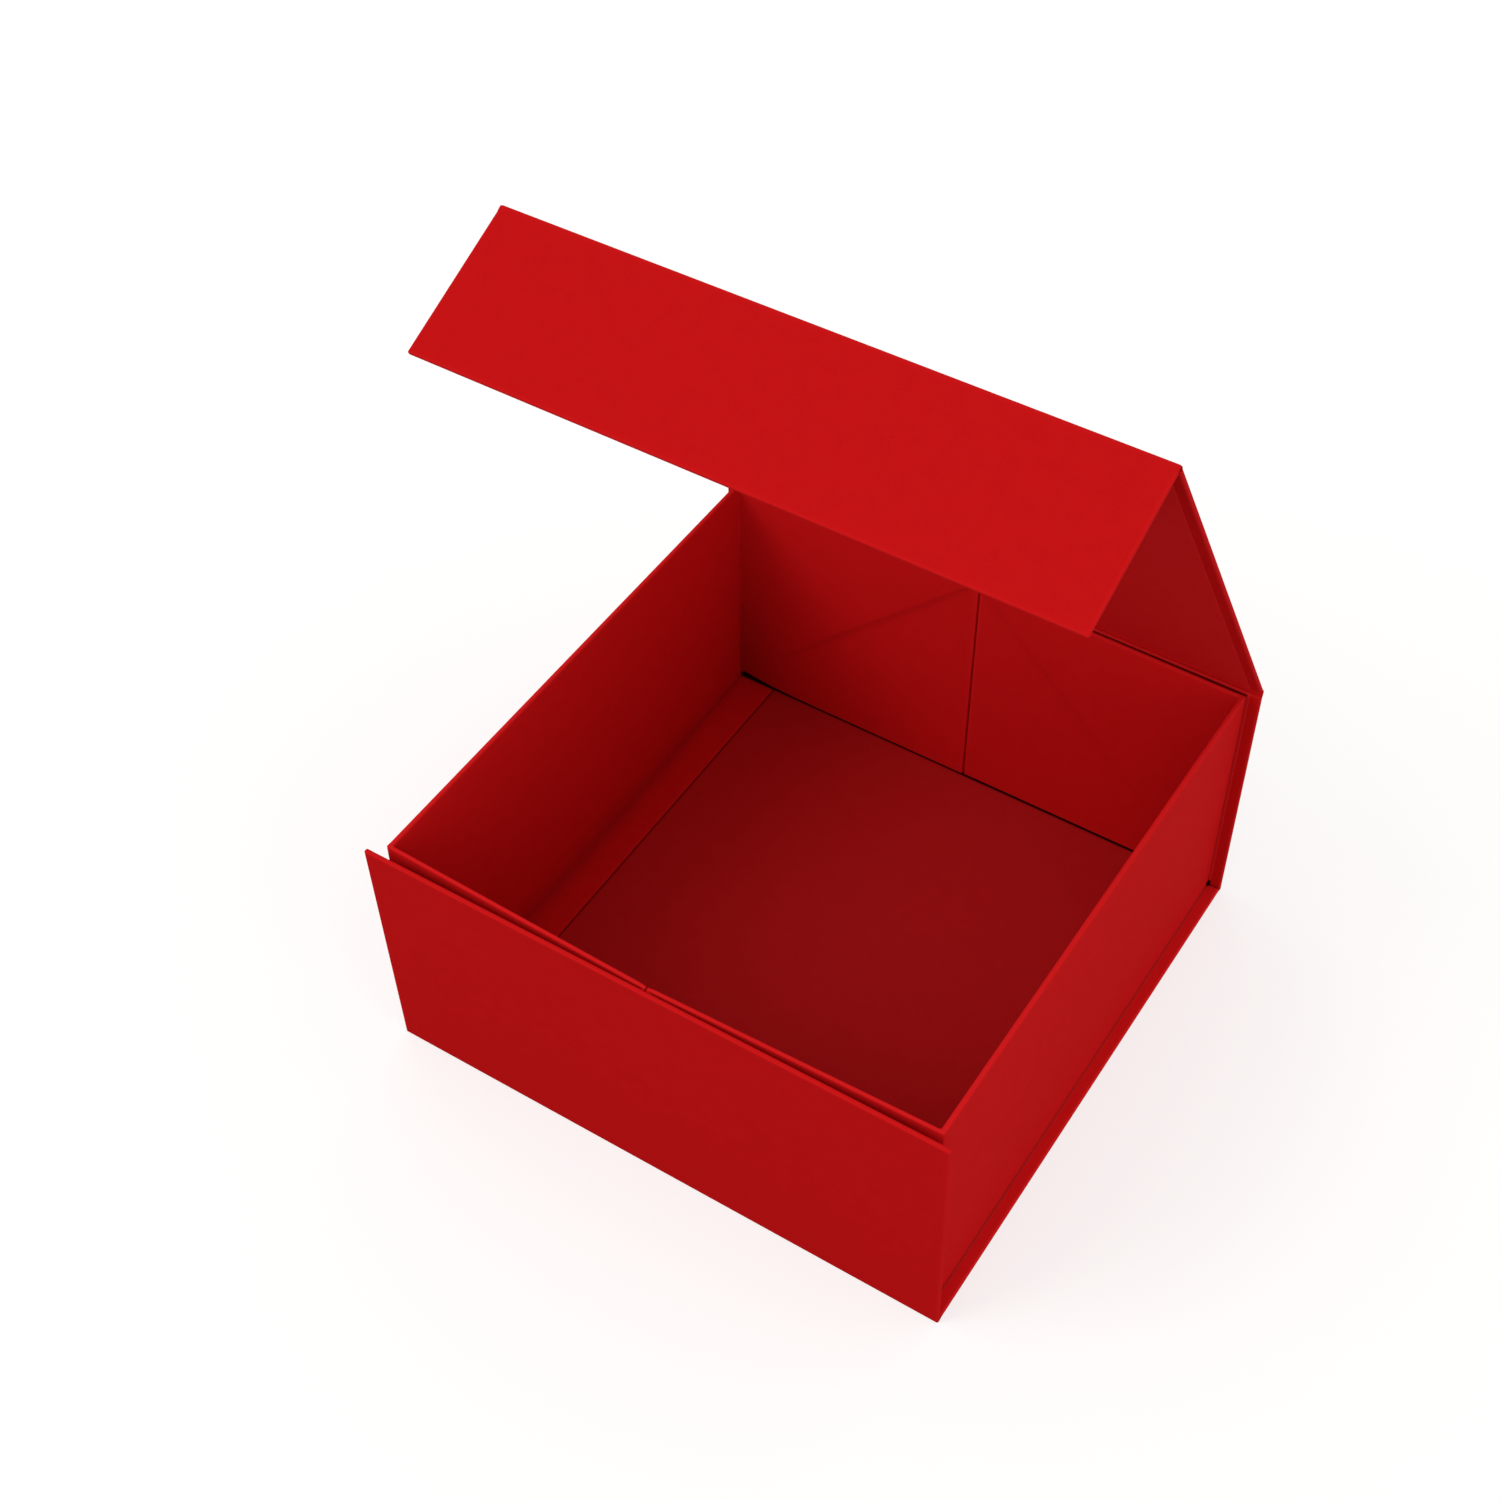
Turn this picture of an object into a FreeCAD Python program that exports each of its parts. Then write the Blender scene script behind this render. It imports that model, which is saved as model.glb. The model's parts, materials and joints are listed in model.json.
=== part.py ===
"""Folding gift box with a lid and a closing flap held by magnets, open, in millimetres.

Five greyboard panels (front, base, back, lid and flap) lie in one strip and are covered by one sheet of
paper, which is also the hinge between them. A tray stands on the base: two side walls, and at each end two
half walls. A crease runs up each half wall from its foot at the corner to the top at the middle. The piece
below the crease is taped to the end panel, the piece above it is hinged to the side wall. Folding the two
end panels out lays the side walls down on the base.

Every panel is drawn flat with its outer face down: local x along the box's width, local y away from the
fold line, local z from the outer face to the inner face. Its Placement then folds it up.
The origin is at the middle of the underside, +X to the right, +Y to the back, +Z up.
"""
import FreeCAD, Part
import os
import Sketcher

SIZES = {
    "case_width": 220,        # along the fold lines
    "case_depth": 217,        # between the two fold lines of the base
    "front_height": 104.2,    # fold line to top edge of the front panel
    "back_height": 106.6,     # fold line to fold line
    "flap_height": 53.5,      # fold line to free edge
    "front_lean": 1.6,        # degrees that the front panel stands out from upright
    "back_lean": 0.5,         # degrees that the back panel stands out from upright
    "lid_rise": 57.9,         # degrees of the open lid above level
    "flap_fold": 82.1,        # degrees from the lid's plane to the flap's
    "lid_clearance": 0.4,     # shut flap to front panel
    "board_thick": 1.4,       # case greyboard
    "paper_thick": 0.2,       # covering and lining paper with its glue
    "fold_gap": 0.5,          # play beyond one panel's thickness beside a fold line
    "liner_margin": 4,        # border of turned-in paper round a lining sheet
    "magnet_radius": 5,
    "magnet_thick": 1,
    "magnet_spread": 110,     # between the two centres
    "magnet_edge": 15,        # centre to the flap's free edge
    "tray_inset": 4.8,        # ledge of the base outside the tray
    "tray_top": 104,
    "wall_board": 1.5,        # side wall greyboard
    "half_board": 1,          # half wall greyboard
    "tray_lift": 0.3,         # tray's lower edges above the floor
    "foot_width": 15,         # strip on the floor along a side wall
    "foot_thick": 1,
    "split_gap": 0.7,         # between the two half walls
    "crease_gap": 0.8,        # along the foot, either side of the crease
    "corner_gap": 0.35,       # half wall to end panel's tape at the corner
    "hinge_gap": 0.3,         # side wall's end to half wall
    "tape_thick": 0.15,
    "tape_width": 30,
    "corner_lap": 8,          # corner paper on the side wall
}

# Lengths that follow from the sizes, as expressions for the sheet's names.
PANEL = "(Sizes.board_thick + 2 * Sizes.paper_thick)"
WALL = "(Sizes.wall_board + 2 * Sizes.paper_thick)"
HALF = "(Sizes.half_board + 2 * Sizes.paper_thick)"
FOLD = f"({PANEL} + Sizes.fold_gap)"
HALF_WIDTH = "(Sizes.case_width / 2)"
HALF_DEPTH = "(Sizes.case_depth / 2)"
LID_HINGE_Y = f"({HALF_DEPTH} + Sizes.back_height * sin(Sizes.back_lean))"
LID_HINGE_Z = "(Sizes.back_height * cos(Sizes.back_lean))"
FRONT_REACH = "(Sizes.front_height * sin(Sizes.front_lean))"
LID_LENGTH = f"({LID_HINGE_Y} + {HALF_DEPTH} + {FRONT_REACH} + {PANEL} + Sizes.lid_clearance)"
LID_TILT = "(180 - Sizes.lid_rise)"
FLAP_TILT = f"({LID_TILT} + Sizes.flap_fold)"
FLAP_HINGE_Y = f"({LID_HINGE_Y} + {LID_LENGTH} * cos{LID_TILT})"
FLAP_HINGE_Z = f"({LID_HINGE_Z} + {LID_LENGTH} * sin{LID_TILT})"
TRAY_X = f"({HALF_WIDTH} - Sizes.tray_inset)"
TRAY_FOOT = f"({PANEL} + Sizes.tray_lift)"
RUN = f"({TRAY_X} - Sizes.split_gap / 2)"
RISE = f"(Sizes.tray_top - {TRAY_FOOT})"
CORNER_Y = f"({HALF_DEPTH} - {PANEL} - Sizes.tape_thick - Sizes.corner_gap)"
WALL_END = f"({CORNER_Y} - {HALF} - Sizes.hinge_gap)"
SLOPE = f"({RISE} / {RUN})"
PAPER = "Sizes.paper_thick"
INNER = f"({PANEL} - {PAPER})"


def make_sheet(doc):
    """The sheet of driving sizes, one named cell each."""
    sheet = doc.addObject("Spreadsheet::Sheet", "Sizes")
    for row, (name, value) in enumerate(SIZES.items(), start=1):
        sheet.set(f"A{row}", str(value))
        sheet.setAlias(f"A{row}", name)
    doc.recompute()


def rectangle(x_low, x_high, y_low, y_high):
    """Corner points of a rectangle, as expressions."""
    return [(x_low, y_low), (x_high, y_low), (x_high, y_high), (x_low, y_high)]


def centred(half_width, y_low, y_high):
    """A rectangle centred on the panel's middle line."""
    return rectangle(f"-{half_width}", half_width, y_low, y_high)


def bind_point(sketch, geometry, position, point):
    """Ties one point of the sketch to its two expressions, measured from the sketch's origin."""
    for kind, expression in zip(("DistanceX", "DistanceY"), point):
        index = sketch.addConstraint(Sketcher.Constraint(kind, -1, 1, geometry, position, 1.0))
        sketch.setExpression(f"Constraints[{index}]", expression)


def add_outline(sketch, points):
    """A closed polygon whose corners are bound to expressions."""
    count = len(points)
    for index in range(count):
        start = FreeCAD.Vector(10.0 * index, 3.0 * index * index, 0)
        after = (index + 1) % count
        end = FreeCAD.Vector(10.0 * after, 3.0 * after * after, 0)
        sketch.addGeometry(Part.LineSegment(start, end), False)
    for index in range(count):
        sketch.addConstraint(Sketcher.Constraint("Coincident", index, 2, (index + 1) % count, 1))
    for index, point in enumerate(points):
        bind_point(sketch, index, 1, point)


def add_circles(sketch, centres, radius):
    """Circles whose centres and radius are bound to expressions."""
    up = FreeCAD.Vector(0, 0, 1)
    for index, centre in enumerate(centres):
        sketch.addGeometry(Part.Circle(FreeCAD.Vector(20.0 * index, 5, 0), up, 2.0), False)
        bind_point(sketch, index, 3, centre)
        constraint = sketch.addConstraint(Sketcher.Constraint("Radius", index, 2.0))
        sketch.setExpression(f"Constraints[{constraint}]", radius)


def make_sketch(body, name, shape, low):
    """A sketch parallel to the body's own XY plane, `low` above it."""
    plane = next(item for item in body.Origin.OriginFeatures if item.Role == "XY_Plane")
    sketch = body.newObject("Sketcher::SketchObject", name)
    sketch.AttachmentSupport = [(plane, "")]
    sketch.MapMode = "FlatFace"
    sketch.setExpression("AttachmentOffset.Base.z", low)
    if isinstance(shape, dict):
        add_circles(sketch, shape["centres"], shape["radius"])
    else:
        add_outline(sketch, shape)
    return sketch


def plate(doc, label, place, shape, low, high, pockets=()):
    """A flat piece from `low` to `high`, less its pockets, each a (shape, low, high) of its own."""
    body = doc.addObject("PartDesign::Body", label)
    body.Label = label
    pad = body.newObject("PartDesign::Pad", f"{label}_pad")
    pad.Profile = make_sketch(body, f"{label}_outline", shape, low)
    pad.setExpression("Length", f"({high}) - ({low})")
    doc.recompute()
    before = pad.Shape.Volume
    for index, (hole, hole_low, hole_high) in enumerate(pockets, start=1):
        pocket = body.newObject("PartDesign::Pocket", f"{label}_pocket_{index}")
        pocket.Profile = make_sketch(body, f"{label}_hole_{index}", hole, hole_low)
        pocket.setExpression("Length", f"({hole_high}) - ({hole_low})")
        pocket.Reversed = True
        doc.recompute()
        if not pocket.Shape.Volume < before:
            raise RuntimeError(f"{pocket.Name} cuts nothing")
        before = pocket.Shape.Volume
    body.setExpression("Placement", place)
    return body


def folded(x, y, z, yaw, tilt):
    """Placement of a flat piece: tilted up about its fold line, turned about the vertical, then moved."""
    turn = f"rotation(vector(0; 0; 1); {yaw})"
    fold = f"rotation(vector(1; 0; 0); {tilt})"
    return f"placement(vector({x}; {y}; {z}); {turn} * {fold})"


PLACES = {
    "base": folded("0", "0", "0", "0", "0"),
    "front_panel": folded("0", f"-{HALF_DEPTH}", "0", "180", "90 - Sizes.front_lean"),
    "back_panel": folded("0", HALF_DEPTH, "0", "0", "90 - Sizes.back_lean"),
    "lid": folded("0", LID_HINGE_Y, LID_HINGE_Z, "0", LID_TILT),
    "flap": folded("0", FLAP_HINGE_Y, FLAP_HINGE_Z, "0", FLAP_TILT),
    "left_wall": folded(f"-{TRAY_X}", "0", "0", "90", "90"),
    "right_wall": folded(TRAY_X, "0", "0", "-90", "90"),
}


def covered_panel(doc, name, liner, low, high, free_edge):
    """A greyboard panel between two fold lines, with its covering and its lining sheet.

    The covering wraps both side edges, and the far edge too where that edge is free.
    """
    place = PLACES[name]
    edge = PAPER if free_edge else "0"
    margin = "Sizes.liner_margin" if free_edge else "0"
    board = centred(f"({HALF_WIDTH} - {PAPER})", low, f"{high} - {edge}")
    window = centred(f"({HALF_WIDTH} - Sizes.liner_margin)", low, f"{high} - {margin}")
    plate(doc, f"{name}_wrap", place, centred(HALF_WIDTH, low, high), "0", PANEL,
          [(board, PAPER, INNER), (window, INNER, PANEL)])
    plate(doc, liner, place, window, INNER, PANEL)
    return board


def magnet_circles(height):
    """The two magnets' outlines at one height of a panel."""
    centres = [("-Sizes.magnet_spread / 2", height), ("Sizes.magnet_spread / 2", height)]
    return {"centres": centres, "radius": "Sizes.magnet_radius"}


def magnet_pair(doc, name, height):
    """Two disc magnets let into the panel's board from its inner side, as one node."""
    discs = []
    for index, (x, y) in enumerate(magnet_circles(height)["centres"]):
        disc = doc.addObject("Part::Cylinder", f"{name}_disc_{index}")
        disc.setExpression("Radius", "Sizes.magnet_radius")
        disc.setExpression("Height", "Sizes.magnet_thick")
        disc.setExpression("Placement.Base.x", x)
        disc.setExpression("Placement.Base.y", y)
        disc.setExpression("Placement.Base.z", f"{INNER} - Sizes.magnet_thick")
        discs.append(disc)
    pair = doc.addObject("Part::MultiFuse", f"{name}_magnets")
    pair.Label = f"{name}_magnets"
    pair.Shapes = discs
    pair.setExpression("Placement", PLACES[name])
    return pair


def make_case(doc):
    """The strip of five covered panels, and the magnets in two of them."""
    flap_magnets = "(Sizes.flap_height - Sizes.magnet_edge)"
    front_magnets = f"(({LID_HINGE_Z} - {flap_magnets}) / cos(Sizes.front_lean))"
    panels = [
        ("base", "floor_liner", f"-{HALF_DEPTH} + {FOLD}", f"{HALF_DEPTH} - {FOLD}", False, None),
        ("front_panel", "front_panel_liner", "Sizes.fold_gap", "Sizes.front_height", True, front_magnets),
        ("back_panel", "back_panel_liner", "Sizes.fold_gap", f"Sizes.back_height - {FOLD}", False, None),
        ("lid", "lid_liner", FOLD, f"{LID_LENGTH} - {FOLD}", False, None),
        ("flap", "flap_liner", FOLD, "Sizes.flap_height", True, flap_magnets),
    ]
    nodes = []
    for name, liner, low, high, free_edge, magnets in panels:
        board = covered_panel(doc, name, liner, low, high, free_edge)
        pockets = []
        if magnets:
            pockets = [(magnet_circles(magnets), f"{INNER} - Sizes.magnet_thick", INNER)]
            nodes.append(magnet_pair(doc, name, magnets).Label)
        plate(doc, f"{name}_board", PLACES[name], board, PAPER, INNER, pockets)
        nodes += [f"{name}_wrap", liner, f"{name}_board"]
    return nodes


def make_fold_papers(doc):
    """The strips of covering paper at the four fold lines, each straight across its gap."""
    nodes = []
    for name, side in (("front_fold_paper", "-"), ("back_fold_paper", "")):
        outer = f"{side}({HALF_DEPTH} - {PAPER})"
        inner = f"{side}({HALF_DEPTH} - {FOLD})"
        low, high = (outer, inner) if side else (inner, outer)
        plate(doc, name, PLACES["base"], centred(HALF_WIDTH, low, high), "0", PAPER)
        nodes.append(name)
    bends = [
        ("lid_fold_paper", LID_HINGE_Y, LID_HINGE_Z, "90 - Sizes.back_lean", LID_TILT),
        ("flap_fold_paper", FLAP_HINGE_Y, FLAP_HINGE_Z, LID_TILT, FLAP_TILT),
    ]
    for name, y, z, before, after in bends:
        half_bend = f"((({after}) - ({before})) / 2)"
        half_span = f"({FOLD} * cos{half_bend} - Sizes.hinge_gap - {PAPER} * sin{half_bend})"
        depth = f"({FOLD} * sin{half_bend})"
        place = folded("0", y, z, "0", f"(({before}) + ({after})) / 2")
        strip = centred(HALF_WIDTH, f"-{half_span}", half_span)
        plate(doc, name, place, strip, depth, f"{depth} + {PAPER}")
        nodes.append(name)
    return nodes


def make_side_walls(doc):
    """The two side walls with their covering folded over the top, and their strips on the floor."""
    nodes = []
    for side, sign in (("left", "-"), ("right", "")):
        place = PLACES[f"{side}_wall"]
        full = centred(WALL_END, TRAY_FOOT, "Sizes.tray_top")
        board = centred(f"({WALL_END} - {PAPER})", TRAY_FOOT, f"Sizes.tray_top - {PAPER}")
        inside = f"({WALL} - {PAPER})"
        plate(doc, f"{side}_wall_wrap", place, full, "0", WALL, [(board, PAPER, inside)])
        plate(doc, f"{side}_wall_board", place, board, PAPER, inside)
        outer = f"{sign}({TRAY_X} - {WALL} - Sizes.hinge_gap)"
        inner = f"{sign}({TRAY_X} - {WALL} - Sizes.hinge_gap - Sizes.foot_width)"
        low, high = (outer, inner) if sign else (inner, outer)
        strip = rectangle(low, high, f"-{WALL_END}", WALL_END)
        plate(doc, f"{side}_foot_strip", PLACES["base"], strip, PANEL, f"{PANEL} + Sizes.foot_thick")
        nodes += [f"{side}_wall_wrap", f"{side}_wall_board", f"{side}_foot_strip"]
    return nodes


def taped_triangle(inset):
    """Half wall below the crease, as (run, height) from the corner's foot, inset from its two free edges."""
    start = "Sizes.crease_gap"
    return [
        (f"{start} + {inset} / {SLOPE}", inset),
        (f"{RUN} - {inset}", inset),
        (f"{RUN} - {inset}", f"({RUN} - {inset} - {start}) * {SLOPE}"),
    ]


def hinged_triangle(inset):
    """Half wall above the crease, as (run, height) from the corner's foot, inset from its two free edges."""
    start = f"(Sizes.crease_gap * {SLOPE})"
    return [
        (inset, f"{start} + {inset} * {SLOPE}"),
        (f"({RISE} - {inset} - {start}) / {SLOPE}", f"{RISE} - {inset}"),
        (inset, f"{RISE} - {inset}"),
    ]


def placed(points, sign, offset):
    """Turns (run, height) points into local x and y: run goes against `sign` from `offset`."""
    other = "-" if sign > 0 else ""
    return [(f"{offset} + {other}({run})", f"{TRAY_FOOT} + ({height})") for run, height in points]


def half_wall_pieces(doc, end, side, sign):
    """One half wall: its taped and its hinged triangle, each a board in its paper, with tape and corner paper."""
    lean = f"Sizes.{end}_lean"
    corner_x = f"{'-' if sign < 0 else ''}{TRAY_X}"
    inside = f"({HALF} - {PAPER})"
    name = f"{end}_{side}"

    panel_place = PLACES[f"{end}_panel"]
    low = f"({PANEL} + Sizes.tape_thick)"
    paper = placed(taped_triangle("0"), sign, corner_x)
    board = placed(taped_triangle(PAPER), sign, corner_x)
    plate(doc, f"{name}_taped_wrap", panel_place, paper, low, f"{low} + {HALF}",
          [(board, f"{low} + {PAPER}", f"{low} + {inside}")])
    plate(doc, f"{name}_taped_board", panel_place, board, f"{low} + {PAPER}", f"{low} + {inside}")

    near = f"Sizes.split_gap / 2 + {PAPER}"
    far = f"{near} + Sizes.tape_width"
    strip_low, strip_high = (near, far) if sign > 0 else (f"-({far})", f"-({near})")
    strip = rectangle(strip_low, strip_high, f"{TRAY_FOOT} + {PAPER}", f"{TRAY_FOOT} + Sizes.tape_width")
    plate(doc, f"{name}_tape", panel_place, strip, PANEL, low)

    yaw = "180 deg" if end == "front" else "0 deg"
    swing = f"atan(tan({lean}) * {SLOPE})"
    turn = f"{yaw} {'-' if sign > 0 else '+'} {swing}"
    west = side == "left"
    hinge_x = f"{'-' if west else ''}{TRAY_X}"
    hinge_y = f"{'-' if end == 'front' else ''}{CORNER_Y}"
    hinge_place = folded(hinge_x, hinge_y, "0", turn, "90")
    paper = placed(hinged_triangle("0"), sign, "0")
    board = placed(hinged_triangle(PAPER), sign, "0")
    plate(doc, f"{name}_hinged_wrap", hinge_place, paper, "0", HALF, [(board, PAPER, inside)])
    plate(doc, f"{name}_hinged_board", hinge_place, board, PAPER, inside)

    toward_end = (end == "back") == west
    lap = f"({WALL_END} - Sizes.corner_lap)"
    lap_low, lap_high = (lap, CORNER_Y) if toward_end else (f"-{CORNER_Y}", f"-{lap}")
    corner = rectangle(lap_low, lap_high, f"{TRAY_FOOT} + Sizes.corner_lap", "Sizes.tray_top")
    plate(doc, f"{name}_corner_paper", PLACES[f"{side}_wall"], corner, f"-{PAPER}", "0")
    parts = ("taped_wrap", "taped_board", "tape", "hinged_wrap", "hinged_board", "corner_paper")
    return [f"{name}_{part}" for part in parts]


def make_half_walls(doc):
    """The four half walls. In the front panel's own frame its left half lies on the positive side."""
    nodes = []
    for end, side, sign in (("front", "left", 1), ("front", "right", -1),
                            ("back", "left", -1), ("back", "right", 1)):
        nodes += half_wall_pieces(doc, end, side, sign)
    return nodes


def write_parts(doc, nodes):
    """Checks every object and writes each sub-part's solid to its own file."""
    doc.recompute()
    for item in doc.Objects:
        if "Invalid" in item.State or "Error" in item.State:
            raise RuntimeError(f"{item.Name} failed: {item.State}")
    os.makedirs("parts", exist_ok=True)
    for node in nodes:
        item = doc.getObjectsByLabel(node)[0]
        if item.Shape.isNull() or not item.Shape.isValid():
            raise RuntimeError(f"{node} has no valid shape")
        item.Shape.exportStep(f"parts/{node}.step")
    print(len(nodes), "parts written")


def main():
    doc = FreeCAD.newDocument("FoldingGiftBox")
    make_sheet(doc)
    nodes = make_case(doc) + make_fold_papers(doc) + make_side_walls(doc) + make_half_walls(doc)
    write_parts(doc, nodes)


main()
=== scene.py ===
# %% [markdown]
# # A folding gift box in Blender
# The box is five flat greyboard panels in a strip, covered by one sheet of paper, and a tray that stands on
# the base panel. Everything is thin board in a paper skin, so the whole lesson is about one idea: a piece is
# two skins, an outer and an inner one, on the same grid of rows and columns, joined round their rim. Solids
# with bevels would be quicker, but here each edge has its own radius, and a skin can carry creases and wear.
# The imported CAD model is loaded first. It gives every place and every hinge, and nothing here moves it.

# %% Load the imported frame
import json
import math

import bpy
import numpy as np
from mathutils import Matrix, Vector


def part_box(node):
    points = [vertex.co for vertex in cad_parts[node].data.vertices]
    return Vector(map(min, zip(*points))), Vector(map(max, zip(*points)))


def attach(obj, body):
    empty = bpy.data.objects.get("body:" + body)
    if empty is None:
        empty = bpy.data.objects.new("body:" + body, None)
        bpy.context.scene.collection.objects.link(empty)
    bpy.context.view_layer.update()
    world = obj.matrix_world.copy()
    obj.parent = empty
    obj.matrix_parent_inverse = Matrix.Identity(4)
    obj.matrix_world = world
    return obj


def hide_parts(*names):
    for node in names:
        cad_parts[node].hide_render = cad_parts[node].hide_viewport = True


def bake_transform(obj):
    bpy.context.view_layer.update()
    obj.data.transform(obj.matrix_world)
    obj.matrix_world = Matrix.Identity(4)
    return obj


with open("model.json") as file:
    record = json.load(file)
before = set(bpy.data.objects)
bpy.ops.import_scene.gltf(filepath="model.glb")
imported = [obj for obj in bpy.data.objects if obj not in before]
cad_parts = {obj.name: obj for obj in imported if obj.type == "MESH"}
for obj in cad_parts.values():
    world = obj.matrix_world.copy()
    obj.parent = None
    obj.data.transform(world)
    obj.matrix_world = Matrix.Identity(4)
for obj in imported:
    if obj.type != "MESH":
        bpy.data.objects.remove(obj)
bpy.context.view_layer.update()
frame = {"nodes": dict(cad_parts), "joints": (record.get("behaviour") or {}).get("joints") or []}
scene = bpy.context.scene

# %% [markdown]
# ## Sizes
# Lengths are in millimetres until a mesh is made. Joint places and ranges give where the panels fold and how
# far each one is folded now. So the sizes below are only those of the free edges, the boards and the paper.

# %% Sizes from the joints and the boxes
MM = 0.001
joints = {joint["name"]: joint for joint in frame["joints"]}


def hinge_point(name):
    """A joint's place across the box and upwards, in millimetres."""
    return np.array(joints[name]["pos_m"][1:]) / MM


HALF_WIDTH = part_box("base_wrap")[1].x / MM
FRONT_FOLD, BACK_FOLD = hinge_point("end_panel_fold"), hinge_point("back_panel_fold")
LID_FOLD, FLAP_FOLD = hinge_point("lid_hinge"), hinge_point("flap_hinge")
HALF_DEPTH = BACK_FOLD[0]
FRONT_HEIGHT = 104.2     # from its fold line to its free edge
FLAP_HEIGHT = 53.5       # the same
BACK_HEIGHT = np.linalg.norm(LID_FOLD - BACK_FOLD)
LID_LENGTH = np.linalg.norm(FLAP_FOLD - LID_FOLD)

PANEL = 1.8          # case board with both papers
WALL = 1.9           # side wall board with both papers
HALF = 1.4           # half wall board with both papers
PAPER = 0.2
GAP = 0.5            # beside a fold line
FOLD = PANEL + GAP   # where a board stops, if the next one folds over its face
MARGIN = 4.0         # turned-in paper round a lining sheet
TAPE = 0.15
HINGE_GAP = 0.3      # from a side wall's end to its half walls
TRAY_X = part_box("right_wall_wrap")[1].x / MM
TRAY_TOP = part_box("right_wall_wrap")[1].z / MM
TRAY_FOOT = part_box("right_wall_wrap")[0].z / MM
WALL_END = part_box("right_wall_wrap")[1].y / MM
CORNER_Y = WALL_END + HALF + HINGE_GAP
SPLIT = 0.7          # between two half walls
RUN = TRAY_X - SPLIT / 2         # a half wall's length
RISE = TRAY_TOP - TRAY_FOOT      # its height
SLOPE = RISE / RUN               # the crease's slope

FRONT_TILT = joints["end_panel_fold"]["range_deg"][1]
BACK_TILT = math.degrees(math.atan2(*(LID_FOLD - BACK_FOLD)[::-1]))
LID_TILT = math.degrees(math.atan2(*(FLAP_FOLD - LID_FOLD)[::-1]))
FLAP_TILT = LID_TILT - joints["flap_hinge"]["range_deg"][0]
print(f"width {2 * HALF_WIDTH:.1f}, depth {2 * HALF_DEPTH:.1f}, lid {LID_LENGTH:.1f} mm")
tilts = [round(value, 1) for value in (FRONT_TILT, BACK_TILT, LID_TILT, FLAP_TILT)]
print("tilts of front, back, lid and flap:", tilts, "degrees")

# %% [markdown]
# ## Folding a flat piece up
# Each panel is drawn flat, as a box maker cuts it: x along the fold line, y away from it, z from the outer
# face to the inner one. Then it is tilted about its fold line and turned about the vertical. Working flat
# keeps every formula simple, and the fold is one matrix product over the whole grid. The front panel stands
# free of the tray, and thick card never stays quite flat, so it also gets a twist of under a millimetre.

# %% Fold a grid of points up
def turn_about(axis, degrees):
    """Rotation matrix about x (axis 0) or z (axis 2), from the cosine and sine of the angle."""
    cosine, sine = math.cos(math.radians(degrees)), math.sin(math.radians(degrees))
    if axis == 0:
        return np.array([[1, 0, 0], [0, cosine, -sine], [0, sine, cosine]])
    return np.array([[cosine, -sine, 0], [sine, cosine, 0], [0, 0, 1]])


def fold_up(points, place):
    """Flat points times the tilt and then the turn, plus the fold line's place: (origin, turn, tilt)."""
    origin, turn, tilt = place
    return points @ (turn_about(2, turn) @ turn_about(0, tilt)).T + np.array(origin)


PLACES = {
    "base": ((0, 0, 0), 0, 0),
    "front_panel": ((0, FRONT_FOLD[0], 0), 180, FRONT_TILT),
    "back_panel": ((0, BACK_FOLD[0], 0), 0, BACK_TILT),
    "lid": ((0, *LID_FOLD), 0, LID_TILT),
    "flap": ((0, *FLAP_FOLD), 0, FLAP_TILT),
    "left_wall": ((-TRAY_X, 0, 0), 90, 90),
    "right_wall": ((TRAY_X, 0, 0), -90, 90),
}
TWIST_OUT = 0.6      # how far the front panel's left top corner is bent out
TWIST_IN = 0.25      # and its right one bent in, short of the half wall behind it


def on_panel(name, x, y, z):
    """A panel's flat points folded up. The front one is twisted first: its share of the height times a bend
    that goes evenly from TWIST_OUT at the left to minus TWIST_IN at the right."""
    if name == "front_panel":
        bend = (TWIST_OUT - TWIST_IN) / 2 + (TWIST_OUT + TWIST_IN) / 2 * (x / HALF_WIDTH)
        z = z - bend * (y / FRONT_HEIGHT)
    return fold_up(np.stack([x, y, z], -1), PLACES[name])


print("places for", ", ".join(PLACES))

# %% [markdown]
# ## Rows and columns
# A paper edge is round, with a radius of about half a millimetre, and the panel between the edges is flat.
# So the grid is fine at an edge and coarse between. The same function serves a rectangle and a triangle,
# because the length that it divides may differ from row to row. Even rows all over would be simpler, but an
# edge half a millimetre round would need some two hundred thousand faces a panel.

# %% Stations along a length
SOFT = 0.65          # radius of a paper-covered edge
ARC = np.radians(np.linspace(0, 90, 6))


def soft_offsets(radius, more=()):
    """Distances from a round edge: radius times one minus the cosine of equal steps of angle, then `more`."""
    return np.concatenate([radius * (1 - np.cos(ARC)), more])


def stations(length, low, high, middle):
    """Distances from a piece's low edge: the `low` offsets, `middle` equal steps, and length minus `high`.

    `length` may be an array, one value for each row. Where it is short, both sets of offsets shrink with it.
    """
    length = np.atleast_1d(np.asarray(length, float))[:, None]
    low, high = np.asarray(low, float)[None], np.asarray(high, float)[None]
    reach = low.max() + high.max() + 1e-6
    shrink = np.minimum(1, 0.9 * length / reach)    # together they take nine tenths of it at most
    start, stop = low.max() * shrink, length - high.max() * shrink
    share = (np.arange(1, middle + 1) / (middle + 1))[None]
    return np.hstack([low * shrink, start + (stop - start) * share, length - high[:, ::-1] * shrink])


def round_off(distance, radius):
    """Drop of a round edge: radius minus the root of radius squared less (radius minus distance) squared."""
    inside = np.clip(radius - distance, 0, radius)
    return radius - np.sqrt(np.maximum(radius ** 2 - inside ** 2, 0))


print("edge offsets", soft_offsets(SOFT).round(3))

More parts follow.
